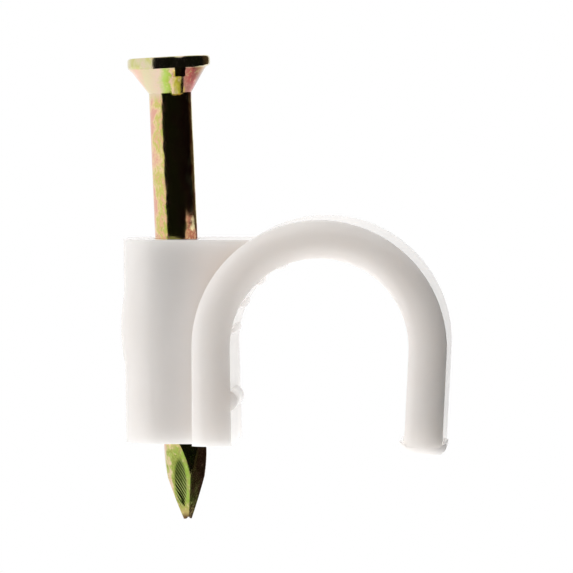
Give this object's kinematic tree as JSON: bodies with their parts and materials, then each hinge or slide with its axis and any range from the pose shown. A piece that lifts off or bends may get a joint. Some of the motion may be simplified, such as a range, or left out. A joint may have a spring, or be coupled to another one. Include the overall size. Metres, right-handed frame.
{
  "type": "nail-in cable clip",
  "caption": "White moulded hook that holds a round cable against a wall, with a block beside it carrying a yellow zinc masonry nail.",
  "frame": {"origin": "on the wall face, under the middle of the hook's fixed leg, half way through its depth", "axes": "+Z out of the wall towards the nail's head, +X from the fixed leg to the free leg, Y along the cable"},
  "size_m": [0.0186, 0.009, 0.0262],
  "materials": {
    "white_plastic": "smooth satin moulding, slightly translucent",
    "yellow_zinc_steel": "glossy iridescent yellow zinc, pale gold with green and pink patches"
  },
  "bodies": {
    "root": {"clip_body": "white_plastic", "masonry_nail": "yellow_zinc_steel"}
  },
  "joints": []
}
